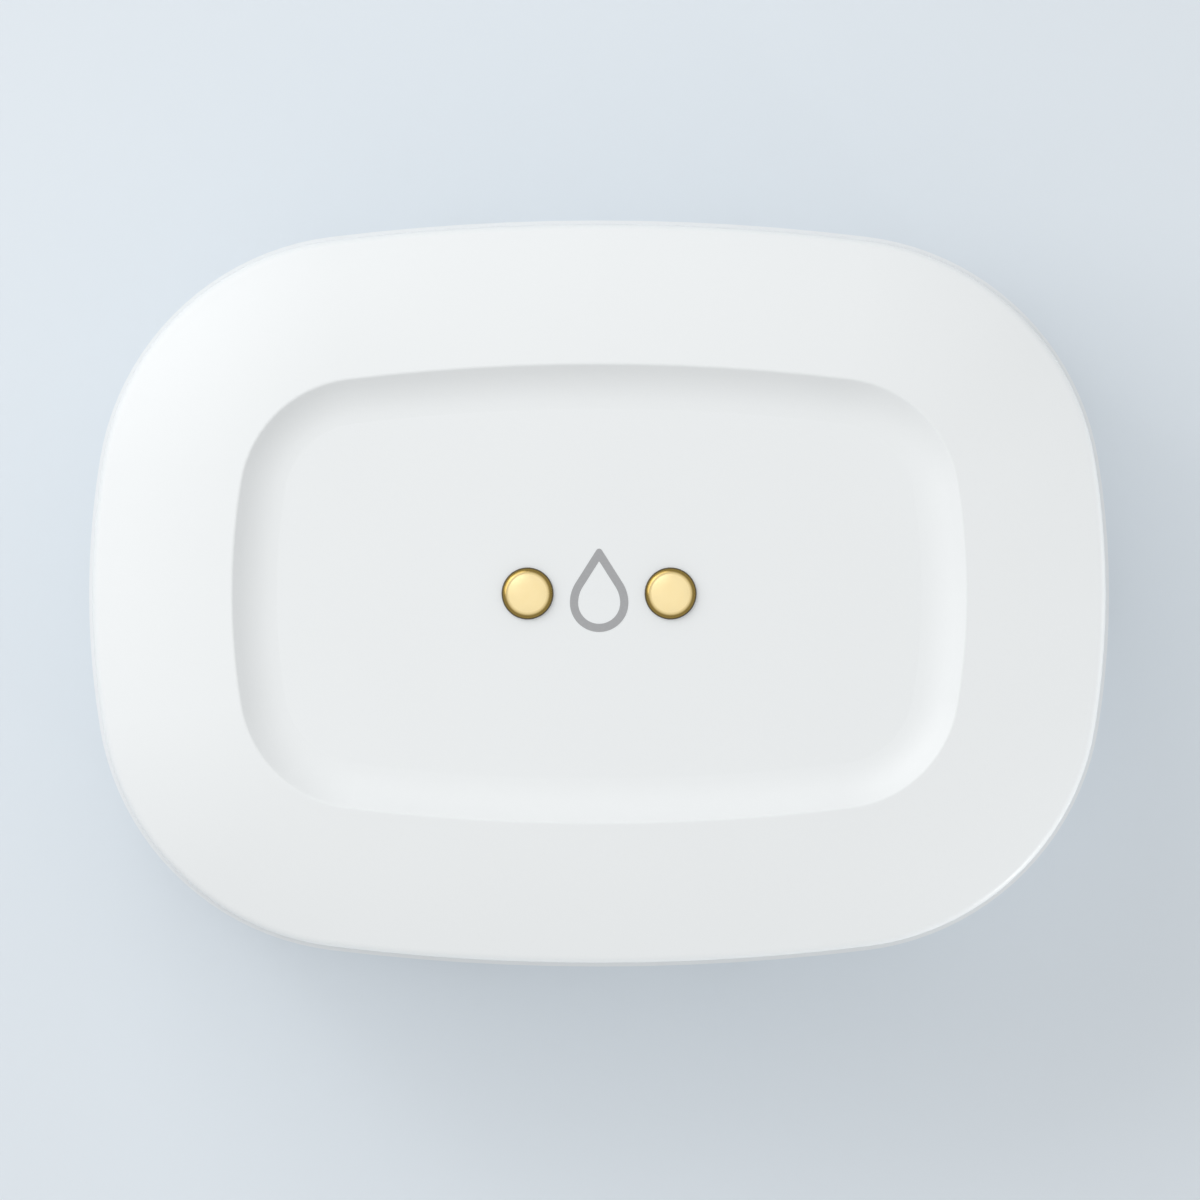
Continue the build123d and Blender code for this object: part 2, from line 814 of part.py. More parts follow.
def battery_negative_contact():
    """A leaf under the board that presses on the small face of the cell."""
    high = board_bottom - battery_contact_sheet / 2
    low = cell_top + battery_contact_sheet / 2
    reach = battery_contact_foot / 2
    return spring_strip(
        [
            (-reach, 0, high),
            (reach, 0, high),
            (reach / 4, 0, low),
            (-reach / 2, 0, low),
            (-reach, 0, (low + high) / 2),
        ],
        battery_contact_bend_radius,
        battery_contact_sheet,
        battery_contact_width,
    )


def battery_positive_contact():
    """A strip that hangs from the board and presses on the side of the cell."""
    touch = -cell_radius - battery_contact_sheet / 2
    away = -well_radius - well_wall / 2
    foot = neck_top + fit_clearance
    middle = (foot + cell_top) / 2
    return spring_strip(
        [
            (away - battery_contact_foot / 2, 0, board_bottom - battery_contact_sheet / 2),
            (away, 0, board_bottom - battery_contact_sheet / 2),
            (away, 0, cell_top),
            (touch, 0, middle + well_wall / 2),
            (touch, 0, middle - well_wall / 2),
            (away, 0, foot),
        ],
        battery_contact_bend_radius,
        battery_contact_sheet,
        battery_contact_width,
    )


def battery_cap():
    """The coin-slotted cap: flange, ring spigot and the slot in its face."""
    flange = rod(2 * cap_flange_radius, foot_height, cap_inner_face)
    flange = fillet(flange.edges().group_by(Axis.Z)[0], cap_edge_radius)
    cap = flange + tube(cap_spigot_radius, cap_inner_radius, cap_inner_face, spigot_top)
    slot = extrude(
        Pos(0, 0, foot_height - overrun) * SlotOverall(cap_slot_length, cap_slot_width),
        amount=overrun + cap_slot_depth,
    )
    return cap - slot


def battery_cap_seal():
    """The ring seal around the cap's spigot."""
    side_gap = (cap_seal_gland_width - cap_seal_cord) / 2
    middle = cap_inner_face + cap_seal_gland_height / 2
    return seal_ring(cap_spigot_radius + side_gap, cap_seal_cord, middle)


def pairing_button():
    """The button's face follows the base's side, with a grooved stem through the wall."""
    face = SlotOverall(button_length, button_depth)
    head = button_bar(face, button_back, half_length + overrun)
    outside = base_skin() + plate(base_wall, base_floor_top, ledge_height)
    button = head & outside
    button += button_bar(Circle(button_stem_diameter / 2), stem_end, button_back)
    groove_start = groove_middle - button_groove_width / 2
    groove_end = groove_middle + button_groove_width / 2
    core = Circle(button_stem_diameter / 2 - button_groove_depth)
    return button - button_bar(Circle(button_stem_diameter) - core, groove_start, groove_end)


def pairing_button_seal():
    """The ring seal in the stem's groove."""
    cord = button_groove_depth + running_clearance / 2
    ring_radius = button_stem_diameter / 2 - button_groove_depth + cord / 2
    return Pos(groove_middle, 0, button_height) * Rot(0, 90, 0) * Torus(ring_radius, cord / 2)


def pairing_button_clip():
    """The ring that keeps the stem in its bore."""
    start = boss_end - fit_clearance / 2
    hole = Circle(button_stem_diameter / 2 + fit_clearance / 4)
    return button_bar(Circle(button_clip_diameter / 2) - hole, start - button_clip_thickness, start)


def switch_body():
    """The tactile switch hangs under the board and faces the button."""
    middle = switch_front - switch_length / 2
    body = block(switch_length, switch_width, board_bottom - switch_height, board_bottom, middle)
    hole = Circle(plunger_diameter / 2 + running_clearance)
    return body - button_bar(hole, middle, switch_front + overrun)


def switch_plunger():
    """The switch's plunger, which the button's stem pushes in."""
    return button_bar(Circle(plunger_diameter / 2), plunger_tip - 2 * plunger_reach, plunger_tip)


def nodes():
    """Every piece by the name of its node."""
    pieces = {
        "top_cover": top_cover(),
        "base_housing": base_housing(),
        "housing_seal": housing_seal(),
        "drip_contact_left": drip_contact(-drip_contact_x),
        "drip_contact_right": drip_contact(drip_contact_x),
        "drip_contact_seal_left": drip_contact_seal(-drip_contact_x),
        "drip_contact_seal_right": drip_contact_seal(drip_contact_x),
        "drip_contact_clips": drip_contact_clips(),
        "drip_spring_left": drip_spring(-drip_contact_x),
        "drip_spring_right": drip_spring(drip_contact_x),
        "floor_contact_seals": floor_contact_seals(),
        "circuit_board": circuit_board(),
        "board_screws": board_screws(),
        "radio_chip": on_board(radio_chip_size, radio_chip_size, radio_chip_height, radio_centre_x),
        "radio_shield": radio_shield(),
        "chip_antenna": on_board(
            antenna_width, antenna_length, antenna_height, antenna_end_gap - half_length
        ),
        "sense_chip": on_board(
            sense_chip_length, sense_chip_width, sense_chip_height, -small_parts_x, small_parts_y
        ),
        "storage_capacitor": on_board(
            capacitor_length, capacitor_width, capacitor_height, -small_parts_x, -small_parts_y
        ),
        "status_led": on_board(led_length, led_width, led_height),
        "light_pipe": light_pipe(),
        "battery_cell": battery_cell(),
        "battery_positive_contact": battery_positive_contact(),
        "battery_negative_contact": battery_negative_contact(),
        "battery_cap": battery_cap(),
        "battery_cap_seal": battery_cap_seal(),
        "pairing_button": pairing_button(),
        "pairing_button_seal": pairing_button_seal(),
        "pairing_button_clip": pairing_button_clip(),
        "switch_body": switch_body(),
        "switch_plunger": switch_plunger(),
        "housing_screws": housing_screws(),
        "housing_screw_seals": housing_screw_seals(),
    }
    for x, end in ((-floor_contact_x, "left"), (floor_contact_x, "right")):
        for y, side in ((-floor_contact_y, "front"), (floor_contact_y, "rear")):
            pieces[f"floor_contact_{side}_{end}"] = floor_contact(x, y)
    return pieces


os.makedirs("parts", exist_ok=True)
for name, piece in nodes().items():
    export_step(piece, f"parts/{name}.step")
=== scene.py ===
import json
import math

import bmesh
import bpy
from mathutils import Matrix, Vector


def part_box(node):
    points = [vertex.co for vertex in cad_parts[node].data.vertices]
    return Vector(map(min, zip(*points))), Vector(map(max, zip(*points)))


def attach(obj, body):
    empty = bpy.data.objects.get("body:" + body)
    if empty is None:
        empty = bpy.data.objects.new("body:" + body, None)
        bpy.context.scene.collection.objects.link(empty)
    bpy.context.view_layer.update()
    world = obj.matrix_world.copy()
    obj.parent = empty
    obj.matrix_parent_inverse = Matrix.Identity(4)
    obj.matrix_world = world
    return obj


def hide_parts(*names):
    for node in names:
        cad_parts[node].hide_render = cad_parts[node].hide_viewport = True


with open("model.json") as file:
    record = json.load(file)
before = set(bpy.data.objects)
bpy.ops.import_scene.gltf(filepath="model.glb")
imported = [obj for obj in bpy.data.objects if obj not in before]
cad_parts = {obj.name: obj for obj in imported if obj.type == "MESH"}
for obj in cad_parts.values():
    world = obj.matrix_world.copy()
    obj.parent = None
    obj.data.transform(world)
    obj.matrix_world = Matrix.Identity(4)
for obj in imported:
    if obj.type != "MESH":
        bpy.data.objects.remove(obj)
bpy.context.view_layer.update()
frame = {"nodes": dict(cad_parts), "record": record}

# The sensor stands on z = 0, with its long side along X. Its sizes are millimetres, and MM turns
# them into the scene's metres. The studio's sizes are metres already.
MM = 0.001

# Heights of the dish's floor, of the joint between cover and base, and of the board's upper face
DISH_FLOOR = 19.098
PARTING = 14.0
BOARD_TOP = 12.9

# Places of the contacts' middles, and the radius of the cap's threaded spigot
DRIP_CONTACT_X = 3.77
FLOOR_CONTACT_X = 19.1
FLOOR_CONTACT_Y = 8.0
CAP_SPIGOT_RADIUS = 13.2

FULL_TURN = 2 * math.pi


class Value:
    """A value that changes from place to place. Sums and products on it add Math nodes."""

    def __init__(self, maker, socket):
        self.maker = maker
        self.socket = socket

    def maths(self, operation, *values):
        return self.maker.add("ShaderNodeMath", {"operation": operation}, dict(enumerate(values)))

    def __add__(self, other):
        return self.maths("ADD", self, other)

    __radd__ = __add__

    def __sub__(self, other):
        return self.maths("SUBTRACT", self, other)

    def __rsub__(self, other):
        return self.maths("SUBTRACT", other, self)

    def __mul__(self, other):
        return self.maths("MULTIPLY", self, other)

    __rmul__ = __mul__

    def __truediv__(self, other):
        return self.maths("DIVIDE", self, other)

    def __pow__(self, other):
        return self.maths("POWER", self, other)

    def __gt__(self, other):
        return self.maths("GREATER_THAN", self, other)

    def __abs__(self):
        return self.maths("ABSOLUTE", self)

    def least(self, other):
        return self.maths("MINIMUM", self, other)

    def most(self, other):
        return self.maths("MAXIMUM", self, other)

    def share(self):
        """The value held between 0 and 1."""
        return self.least(1.0).most(0.0)

    def remainder(self):
        """What is left above the whole number."""
        return self.maths("FRACT", self)

    def sine(self):
        return self.maths("SINE", self)

    def cosine(self):
        return self.maths("COSINE", self)


class NodeMaker:
    """Adds nodes to one tree: the settings go in first, then the values or links."""

    def __init__(self, tree):
        self.nodes = tree.nodes
        self.links = tree.links

    def set(self, node, inputs):
        for name, value in inputs.items():
            if isinstance(value, Value):
                self.links.new(value.socket, node.inputs[name])
            elif isinstance(value, list):
                for joined in value:
                    self.links.new(joined.socket, node.inputs[name])
            else:
                node.inputs[name].default_value = value

    def add(self, kind, settings=None, inputs=None, output=0):
        node = self.nodes.new(kind)
        for name, value in (settings or {}).items():
            setattr(node, name, value)
        self.set(node, inputs or {})
        return Value(self, node.outputs[output])


class Finish(NodeMaker):
    """One material: a principled surface, and the nodes that vary it."""

    def __init__(self, name, **constants):
        self.material = bpy.data.materials.new(name)
        self.material.use_nodes = True
        super().__init__(self.material.node_tree)
        self.surface = self.nodes["Principled BSDF"]
        self.set(self.surface, constants)

    def shape(self, **inputs):
        self.set(self.surface, {name.replace("_", " "): value for name, value in inputs.items()})
        return self.material

    def place(self, stretch=(1, 1, 1)):
        """Object coordinates, in metres, stretched along each axis."""
        spot = self.add("ShaderNodeTexCoord", output="Object")
        if stretch == (1, 1, 1):
            return spot
        return self.add("ShaderNodeMapping", inputs={"Vector": spot, "Scale": stretch})

    def axis(self, name):
        """One coordinate of the object's own space, in millimetres."""
        split = self.add("ShaderNodeSeparateXYZ", inputs={"Vector": self.place()}, output=name)
        return split / MM

    def noise(self, grain, detail=2.0, roughness=0.5, stretch=(1, 1, 1)):
        """Noise between 0 and 1 whose features are about grain millimetres across."""
        inputs = {
            "Vector": self.place(stretch),
            "Scale": 1 / (grain * MM),
            "Detail": detail,
            "Roughness": roughness,
        }
        return self.add("ShaderNodeTexNoise", {"noise_dimensions": "3D"}, inputs)

    def cells(self, grain, feature="F1"):
        """Distance within cells that are about grain millimetres across."""
        inputs = {"Vector": self.place(), "Scale": 1 / (grain * MM)}
        return self.add("ShaderNodeTexVoronoi", {"feature": feature}, inputs)

    def blend(self, share, low, high):
        """A colour between two colours, which the node has as inputs 6 and 7 and output 2."""
        inputs = {"Factor": share, 6: low, 7: high}
        return self.add("ShaderNodeMix", {"data_type": "RGBA"}, inputs, output=2)

    def relief(self, height, depth):
        """A normal from a height that is depth millimetres deep."""
        inputs = {"Height": height, "Distance": depth * MM, "Strength": 1.0}
        return self.add("ShaderNodeBump", inputs=inputs)


class Form(NodeMaker):
    """A shape grown by Geometry Nodes, whose sizes are the named inputs of its tree."""

    def __init__(self, name, **sizes):
        self.name = name
        self.sizes = sizes
        self.tree = bpy.data.node_groups.new(name, "GeometryNodeTree")
        super().__init__(self.tree)
        self.tree.interface.new_socket("Shape", in_out="OUTPUT", socket_type="NodeSocketGeometry")
        for size in sizes:
            self.tree.interface.new_socket(size, in_out="INPUT", socket_type="NodeSocketFloat")
        self.given = self.nodes.new("NodeGroupInput")

    def size(self, name):
        return Value(self, self.given.outputs[name])

    def vector(self, x=0.0, y=0.0, z=0.0):
        return self.add("ShaderNodeCombineXYZ", inputs={"X": x, "Y": y, "Z": z})

    def sheet(self, columns, rows):
        """A sheet of points, with how far each lies across and along it, from 0 to 1."""
        inputs = {"Size X": 1.0, "Size Y": 1.0, "Vertices X": columns + 1, "Vertices Y": rows + 1}
        grid = self.add("GeometryNodeMeshGrid", inputs=inputs)
        spot = self.add("GeometryNodeInputPosition")
        across = self.add("ShaderNodeSeparateXYZ", inputs={"Vector": spot}, output="X") + 0.5
        along = self.add("ShaderNodeSeparateXYZ", inputs={"Vector": spot}, output="Y") + 0.5
        return grid, across, along

    def move(self, shape, place):
        return self.add("GeometryNodeSetPosition", inputs={"Geometry": shape, "Position": place})

    def revolve(self, shape, turns, radius, height):
        """Bends a sheet round the Z axis, with its faces outwards where it runs down."""
        angle = turns * -FULL_TURN
        place = self.vector(angle.cosine() * radius, angle.sine() * radius, height)
        return self.move(shape, place)

    def weld(self, *shapes):
        """One closed skin from shapes whose edges meet."""
        joined = self.add("GeometryNodeJoinGeometry", inputs={"Geometry": list(shapes)})
        inputs = {"Geometry": joined, "Distance": 0.001 * MM}
        return self.add("GeometryNodeMergeByDistance", inputs=inputs)

    def repeat(self, points, shape, turn):
        """Copies of a shape on points."""
        inputs = {"Points": points, "Instance": shape, "Rotation": turn}
        return self.add("GeometryNodeInstanceOnPoints", inputs=inputs)

    def lattice(self, length, width, columns, rows, middle):
        """Points in rows, centred on a place."""
        inputs = {"Size X": length, "Size Y": width, "Vertices X": columns, "Vertices Y": rows}
        grid = self.add("GeometryNodeMeshGrid", inputs=inputs)
        return self.add("GeometryNodeTransform", inputs={"Geometry": grid, "Translation": middle})

    def mesh(self, shape, material):
        """The shape as a plain mesh in its material."""
        plain = self.add("GeometryNodeRealizeInstances", inputs={"Geometry": shape})
        dressed = self.add("GeometryNodeSetMaterial", inputs={"Geometry": plain, "Material": material})
        result = self.nodes.new("NodeGroupOutput")
        self.links.new(dressed.socket, result.inputs["Shape"])
        carrier = bpy.data.objects.new(self.name, bpy.data.meshes.new(self.name))
        modifier = carrier.modifiers.new(self.name, "NODES")
        modifier.node_group = self.tree
        for item in self.tree.interface.items_tree:
            if item.in_out == "INPUT":
                modifier[item.identifier] = self.sizes[item.name]
        return plain_mesh(carrier)


def plain_mesh(carrier):
    """The mesh that an object's modifiers make of it. The object itself goes."""
    bpy.context.scene.collection.objects.link(carrier)
    graph = bpy.context.evaluated_depsgraph_get()
    made = bpy.data.meshes.new_from_object(carrier.evaluated_get(graph), depsgraph=graph)
    bpy.data.objects.remove(carrier)
    return made


def tint_of(red, green, blue):
    """A linear colour from display levels between 0 and 255."""
    return tuple(((v / 255 + 0.055) / 1.055) ** 2.4 for v in (red, green, blue)) + (1.0,)


def grey(level):
    """A linear grey from a display level between 0 and 255."""
    return tint_of(level, level, level)


def darker(colour, share):
    """A colour brought down to a share of itself."""
    return tuple(c * share for c in colour[:3]) + (1.0,)


def moulded_plastic(name, colour, gloss, grain, depth):
    """Satin moulded plastic: the fine spark-eroded grain of the mould, and faint handling marks."""
    finish = Finish(name, IOR=1.5)
    grains = finish.cells(grain) * 0.5 + finish.noise(grain * 2.2, detail=3.0) * 0.5
    drift = finish.noise(9.0, detail=1.0)
    marks = finish.noise(1.6, detail=4.0, roughness=0.6)
    shade = finish.blend(drift, darker(colour, 0.985), colour)
    return finish.shape(
        Base_Color=shade,
        Roughness=gloss + (marks - 0.5) * 0.10 + (grains - 0.5) * 0.06,
        Normal=finish.relief(grains, depth),
    )


def silicone(name, colour):
    """Soft rubber: dull, a little mottled, with a faint dusty skin."""
    finish = Finish(name, IOR=1.41)
    mottle = finish.noise(0.8, detail=3.0)
    shade = finish.blend(mottle, darker(colour, 0.9), colour)
    return finish.shape(
        Base_Color=shade,
        Roughness=0.55 + (mottle - 0.5) * 0.2,
        Normal=finish.relief(finish.noise(0.12), 0.004),
    )


def metal(name, colour, gloss, grain, depth, stretch=(1, 1, 1)):
    """Plated or bare metal: fine scratches or plating grain, duller where it is handled."""
    finish = Finish(name, Metallic=1.0)
    scratches = finish.noise(grain, detail=4.0, roughness=0.65, stretch=stretch)
    cloud = finish.noise(1.1, detail=2.0)
    shade = finish.blend(cloud, darker(colour, 0.93), colour)
    return finish.shape(
        Base_Color=shade,
        Roughness=gloss + (cloud - 0.5) * 0.08 + (scratches - 0.5) * 0.08,
        Normal=finish.relief(scratches, depth),
    )


def distance_from(finish, x, y):
    """Distance in plan from the nearest of four places at plus or minus x and y."""
    across = abs(finish.axis("X")) - x
    along = abs(finish.axis("Y")) - y
    return (across * across + along * along) ** 0.5


def ring_share(radius, start, full, end):
    """Rises from 0 to 1 between two radii, and falls back to 0 beyond a third."""
    fall = 0.05
    return ((radius - start) / (full - start)).share() - ((radius - end) / fall).share()


def gold_plate(name):
    """Flash gold over nickel: pale domes, with a painted dark reflection down their rounded edges and
    a painted shadow round their feet.
    """
    finish = Finish(name, Metallic=1.0)
    turned = finish.noise(0.05, detail=3.0, stretch=(1, 1, 0.2))
    cloud = finish.noise(0.5, detail=2.0)
    to_drip = distance_from(finish, DRIP_CONTACT_X, 0.0)
    to_floor = distance_from(finish, FLOOR_CONTACT_X, FLOOR_CONTACT_Y)
    # Radii from the middle of a drip contact, then from that of a floor contact. edge marks the domes'
    # steep sides, coloured olive brown as a painted reflection of dark surroundings. rim marks a thin
    # ring at each dome's foot, coloured near black as a painted shadow.
    edge = ring_share(to_drip, 0.99, 1.2, 1.6) + ring_share(to_floor, 1.62, 1.82, 2.2)
    rim = ring_share(to_drip, 1.26, 1.34, 1.6) + ring_share(to_floor, 1.92, 1.97, 2.2)
    crown = finish.blend(cloud, tint_of(252, 229, 172), tint_of(255, 234, 181))
    # Olive brown on the steep sides: a painted dark reflection
    side = finish.blend(edge, crown, tint_of(168, 142, 76))
    return finish.shape(
        # Near black at the dome's foot: a painted shadow of the gap round its base
        Base_Color=finish.blend(rim, side, tint_of(64, 50, 24)),
        Roughness=0.24 + (cloud - 0.5) * 0.06,
        Normal=finish.relief(turned, 0.0006),
    )


def turned_steel(name):
    """Nickel-plated steel of the cell's can, with rings left by drawing."""
    finish = Finish(name, Metallic=1.0)
    x = finish.axis("X")
    y = finish.axis("Y")
    radius = (x * x + y * y) ** 0.5
    ring_waves = 21.0
    rings = (radius * ring_waves).sine()
    grain = finish.noise(0.1, detail=3.0)
    shade = finish.blend(grain, grey(198), grey(214))
    return finish.shape(
        Base_Color=shade,
        Roughness=0.26 + rings * 0.03 + (grain - 0.5) * 0.08,
        Normal=finish.relief(rings * 0.5 + grain, 0.003),
    )


def board_laminate(name):
    """Green solder mask over copper tracks, with the weave of the glass just showing."""
    finish = Finish(name, IOR=1.5)
    gap_between_tracks = 0.13
    weave_waves = 14.0
    tracks = finish.cells(2.4, "DISTANCE_TO_EDGE") > gap_between_tracks
    weave_x = (finish.axis("X") * weave_waves).sine()
    weave_y = (finish.axis("Y") * weave_waves).sine()
    shade = finish.blend(tracks, tint_of(38, 122, 78), tint_of(24, 92, 58))
    return finish.shape(
        Base_Color=shade,
        Roughness=0.32 + finish.noise(0.6) * 0.1,
        Normal=finish.relief(weave_x * weave_y * 0.3 - tracks * 0.7, 0.02),
    )


def light_pipe_acrylic(name):
    """Clear acrylic with a finely frosted end."""
    finish = Finish(name, IOR=1.49)
    finish.surface.inputs["Transmission Weight"].default_value = 0.9
    haze = finish.noise(0.4, detail=2.0)
    shade = finish.blend(haze, tint_of(236, 242, 244), tint_of(248, 250, 250))
    return finish.shape(
        Base_Color=shade,
        Roughness=0.08 + haze * 0.08,
        Normal=finish.relief(haze, 0.003),
    )


def sign_ink(name):
    """Grey pad-printed ink: matt, with the slight unevenness of the pad."""
    finish = Finish(name, IOR=1.45)
    patches = finish.noise(0.12, detail=3.0)
    shade = finish.blend(patches, tint_of(160, 161, 163), tint_of(172, 173, 175))
    return finish.shape(
        Base_Color=shade,
        Roughness=0.5 + patches * 0.15,
        Normal=finish.relief(patches, 0.002),
    )


def studio_floor(name):
    """The pale floor. It is open from below and under the foot ring, so the underside shows."""
    clear_half_length = 24.5
    clear_half_width = 17.2
    finish = Finish(name, Roughness=0.9)
    finish.surface.inputs["Specular IOR Level"].default_value = 0.1
    drift = finish.noise(40.0, detail=1.0)
    finish.shape(Base_Color=finish.blend(drift, tint_of(221, 228, 234), tint_of(224, 231, 237)))
    across = abs(finish.axis("X") / clear_half_length) ** 3.0
    along = abs(finish.axis("Y") / clear_half_width) ** 3.0
    behind = finish.add("ShaderNodeNewGeometry", output="Backfacing")
    clear = finish.add("ShaderNodeBsdfTransparent")
    solid = Value(finish, finish.surface.outputs[0])
    is_clear = behind.most(1.0 - (across + along > 1.0))
    mixed = finish.add("ShaderNodeMixShader", inputs={0: is_clear, 1: solid, 2: clear})
    finish.set(finish.nodes["Material Output"], {"Surface": mixed})
    return finish.material


def make_finishes():
    """Every finish by the name of its slot."""
    cover_white = tint_of(237, 240, 241)
    base_white = tint_of(234, 237, 239)
    return {
        "cover_plastic": moulded_plastic("cover_plastic", cover_white, 0.42, 0.09, 0.0025),
        "base_plastic": moulded_plastic("base_plastic", base_white, 0.5, 0.12, 0.006),
        "button_plastic": moulded_plastic("button_plastic", tint_of(214, 219, 222), 0.45, 0.1, 0.004),
        "seal_rubber": silicone("seal_rubber", tint_of(96, 104, 112)),
        "gold_contact": gold_plate("gold_contact"),
        "spring_metal": metal("spring_metal", tint_of(218, 216, 210), 0.24, 0.05, 0.001, (1, 0.1, 1)),
        "screw_steel": metal("screw_steel", tint_of(200, 201, 204), 0.3, 0.07, 0.002),
        "board_laminate": board_laminate("board_laminate"),
        "chip_plastic": moulded_plastic("chip_plastic", grey(38), 0.5, 0.1, 0.006),
        "shield_tin": metal("shield_tin", grey(216), 0.28, 0.09, 0.0015, (1, 0.15, 1)),
        "ceramic": moulded_plastic("ceramic", tint_of(222, 214, 200), 0.6, 0.06, 0.003),
        "capacitor_case": moulded_plastic("capacitor_case", tint_of(214, 160, 62), 0.45, 0.1, 0.003),
        "led_lens": moulded_plastic("led_lens", tint_of(238, 226, 170), 0.2, 0.2, 0.001),
        "light_guide": light_pipe_acrylic("light_guide"),
        "cell_steel": turned_steel("cell_steel"),
    }


def dress_nodes(finishes):
    """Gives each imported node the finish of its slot."""
    slots = {part["node"]: part["material_slot"] for part in frame["record"]["subparts"]}
    for name, node in frame["nodes"].items():
        for place in node.material_slots:
            place.material = finishes[slots[name]]


def smoothed(mesh):
    """The mesh with round faces shaded smooth, and flat faces flat up to their edges."""
    mesh.shade_smooth()
    mesh.set_sharp_from_angle(angle=math.radians(32))
    carrier = bpy.data.objects.new("carrier", mesh)
    even = carrier.modifiers.new("even", "WEIGHTED_NORMAL")
    even.keep_sharp = True
    return plain_mesh(carrier)


def piece_from(mesh, name, material, body):
    """A finished piece at the origin, riding on its body."""
    skin = smoothed(mesh)
    skin.materials.clear()
    skin.materials.append(material)
    piece = bpy.data.objects.new(name, skin)
    bpy.context.scene.collection.objects.link(piece)
    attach(piece, body)
    return piece


def drop_outline(inset):
    """The drop's outline moved inwards: a round bottom, two full sides and a rounded tip."""
    count = 14
    bottom_radius = 1.54 - inset
    side_radius = 1.98 - inset
    side_turn = math.radians(32.4)
    tip_radius = max(0.17 - inset, 0.03)
    middle_y = -0.49
    half = []
    for i in range(count + 1):
        turn = math.pi / 2 * i / count
        half.append((bottom_radius * math.sin(turn), middle_y - bottom_radius * math.cos(turn)))
    side_middle_x = bottom_radius - side_radius
    for i in range(1, count + 1):
        turn = side_turn * i / count
        x = side_middle_x + side_radius * math.cos(turn)
        half.append((x, middle_y + side_radius * math.sin(turn)))
    side_end_x, side_end_y = half[-1]
    sharp_tip = side_end_y + side_end_x / math.tan(side_turn)
    tip_y = sharp_tip - tip_radius / math.sin(side_turn)
    for i in range(count // 2 + 1):
        turn = side_turn + (math.pi / 2 - side_turn) * i / (count // 2)
        half.append((tip_radius * math.cos(turn), tip_y + tip_radius * math.sin(turn)))
    return half + [(-x, y) for x, y in reversed(half[1:-1])]


def drop_sign(material):
    """The printed drop in the middle of the dish, a film of ink between two outlines."""
    line_width = 0.43
    outer = drop_outline(0.0)
    inner = drop_outline(line_width)
    low = (DISH_FLOOR - 0.004) * MM
    high = (DISH_FLOOR + 0.012) * MM
    mesh = bmesh.new()
    rings = [
        [mesh.verts.new((x * MM, y * MM, z)) for x, y in line]
        for line, z in ((outer, low), (outer, high), (inner, high), (inner, low))
    ]
    count = len(outer)
    for ring, following in zip(rings, rings[1:] + rings[:1]):
        for i in range(count):
            j = (i + 1) % count
            mesh.faces.new((ring[i], ring[j], following[j], following[i]))
    bmesh.ops.recalc_face_normals(mesh, faces=mesh.faces)
    sign = bpy.data.meshes.new("drop_sign")
    mesh.to_mesh(sign)
    mesh.free()
    piece_from(sign, "drop_sign", material, "housing")


def screw_head(form, columns):
    """A pan head that stands on z = 0, with a cross recess: its floor, its wall and the crown."""
    head_radius = form.size("head_radius")
    head_height = form.size("head_height")
    sheet, across, along = form.sheet(columns, 18)
    steps = along * 3.0
    floor = steps.share()
    wall = (steps - 1.0).share()
    crown = (steps - 2.0).share()
    turn = across * FULL_TURN
    narrow = abs(turn.sine()).least(abs(turn.cosine())).most(0.001)
    recess = (form.size("drive_width") / narrow).least(form.size("drive_reach"))
    spread = 1.0 - (1.0 - crown) * (1.0 - crown)
    radius = recess * (floor * 0.5 + wall * 0.5) + (head_radius - recess) * spread
    pan = head_height * (1.0 - (radius / head_radius) ** 6.0).most(0.0) ** 0.4
    bottom = head_height - form.size("drive_depth")
    return form.revolve(sheet, across, radius, bottom + (pan - bottom) * wall)


def screw_seat(form, columns):
    """The flat ring under the head."""
    head_radius = form.size("head_radius")
    sheet, across, along = form.sheet(columns, 1)
    radius = head_radius + (form.size("core_radius") - head_radius) * along
    return form.revolve(sheet, across, radius, 0.0)


def screw_shank(form, columns):
    """A threaded shank down from z = 0. Its rows of points follow the thread."""
    turns = 12
    rows_a_turn = 8
    steepness = 1.6
    sheet, across, along = form.sheet(columns, rows_a_turn * (turns + 1))
    wound = along * (turns + 1.0)
    depth = ((wound + across - 1.0) / turns).share()
    ridge = (1.0 - abs(wound.remainder() * 2.0 - 1.0) * steepness).share()
    faded = (depth * turns).share() * ((1.0 - depth) * turns * 0.6).share()
    blunt = ((1.0 - depth) * turns).share() ** 0.5
    radius = (form.size("core_radius") + form.size("thread_depth") * ridge * faded) * blunt
    return form.revolve(sheet, across, radius, depth * form.size("length") * -1.0)


def screw(form):
    """One screw, point down, with its seat on z = 0."""
    columns = 48
    return form.weld(
        screw_head(form, columns), screw_seat(form, columns), screw_shank(form, columns)
    )


def set_of_screws(name, node, finish, head_down, sizes):
    """Four alike screws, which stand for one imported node."""
    low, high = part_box(node)
    head_width = 2 * sizes["head_radius"]
    form = Form(
        name,
        **sizes,
        spacing_x=high[0] - low[0] - head_width,
        spacing_y=high[1] - low[1] - head_width,
        seat=low[2] + sizes["head_height"] if head_down else high[2] - sizes["head_height"],
        first_turn=0.4,
        turn_to_next=1.3,
    )
    points = form.lattice(
        form.size("spacing_x"), form.size("spacing_y"), 2, 2, form.vector(z=form.size("seat"))
    )
    order = form.add("GeometryNodeInputIndex")
    turn = order * form.size("turn_to_next") + form.size("first_turn")
    turned = form.vector(x=math.pi if head_down else 0.0, z=turn)
    made = form.mesh(form.repeat(points, screw(form), turned), finish)
    piece = piece_from(made, name, finish, "housing")
    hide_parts(node)


